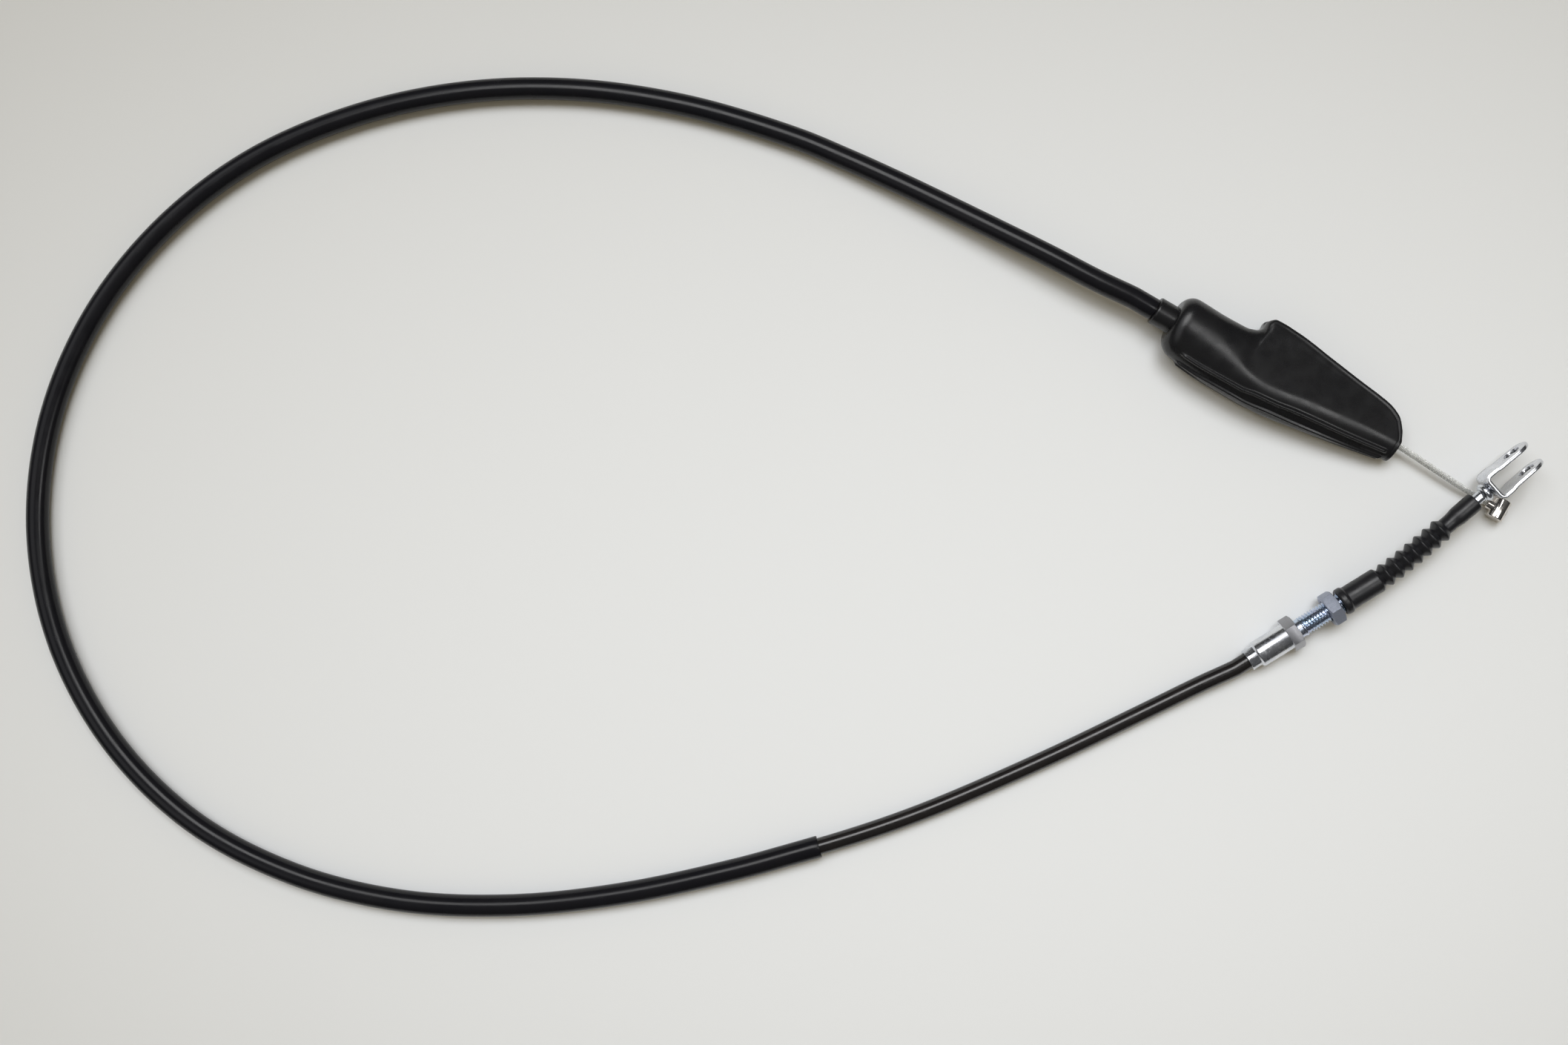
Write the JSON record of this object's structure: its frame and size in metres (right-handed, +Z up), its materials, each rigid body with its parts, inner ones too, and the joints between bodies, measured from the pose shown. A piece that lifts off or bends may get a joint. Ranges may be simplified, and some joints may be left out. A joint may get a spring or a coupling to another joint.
{
  "type": "drum brake control cable",
  "caption": "Sheathed brake control cable in an open loop, with a rubber lever boot, barrel nipple, screw adjuster, ribbed bellows and swivelling clevis.",
  "frame": {"origin": "on the bench surface under the middle of the box round the two cable ends, which lie side by side", "axes": "+Z up from the bench; the loop runs off towards -X and the clevis points towards +X and +Y"},
  "size_m": [0.581, 0.3237, 0.0192],
  "materials": {
    "sleeve_vinyl": "smooth glossy black vinyl",
    "jacket_plastic": "black extruded plastic with a fine grain",
    "winding_steel": "drawn flat steel wire",
    "liner_plastic": "pale low-friction tube",
    "strand_steel": "twisted galvanised strand",
    "boot_rubber": "satin moulded black rubber",
    "bellows_rubber": "satin moulded black rubber",
    "bright_zinc": "bright zinc plate",
    "blue_zinc": "bluish zinc plate",
    "nickel": "polished nickel plate",
    "solder": "tinned solder"
  },
  "bodies": {
    "casing": {"outer_sleeve": "sleeve_vinyl", "conduit_jacket": "jacket_plastic", "conduit_coil": "winding_steel", "conduit_liner": "liner_plastic", "inner_wire": "strand_steel", "lever_boot": "boot_rubber", "lever_ferrule": "bright_zinc", "adjuster_barrel": "bright_zinc", "adjuster_screw": "blue_zinc", "bellows": "bellows_rubber"},
    "lever_end": {"wire_lever_end": "strand_steel", "barrel_nipple": "nickel", "nipple_solder": "solder"},
    "brake_end": {"end_stem": "bright_zinc"},
    "clevis_yoke": {"clevis": "bright_zinc"},
    "lock_nut": {"lock_nut": "blue_zinc"}
  },
  "joints": [
    {"name": "cable_pull", "type": "slide", "parent": "casing", "child": "lever_end", "axis": [0.8686, -0.4935, -0.0441], "range_m": [0, 0.015]},
    {"name": "stem_draw", "type": "slide", "parent": "casing", "child": "brake_end", "axis": [-0.7499, -0.6588, -0.061], "range_m": [0, 0.015], "deforming": ["bellows", "inner_wire"]},
    {"name": "clevis_swivel", "type": "hinge", "parent": "brake_end", "child": "clevis_yoke", "pos_m": [0.0565, -0.00184, 0.0119], "axis": [0.7499, 0.6588, 0.061], "continuous": true},
    {"name": "nut_run", "type": "slide", "parent": "casing", "child": "lock_nut", "axis": [0.8418, 0.5363, 0.061], "range_m": [-0.0102, 0.0009]}
  ],
  "couplings": [
    {"joint": "stem_draw", "follows": "cable_pull", "ratio": 1}
  ]
}
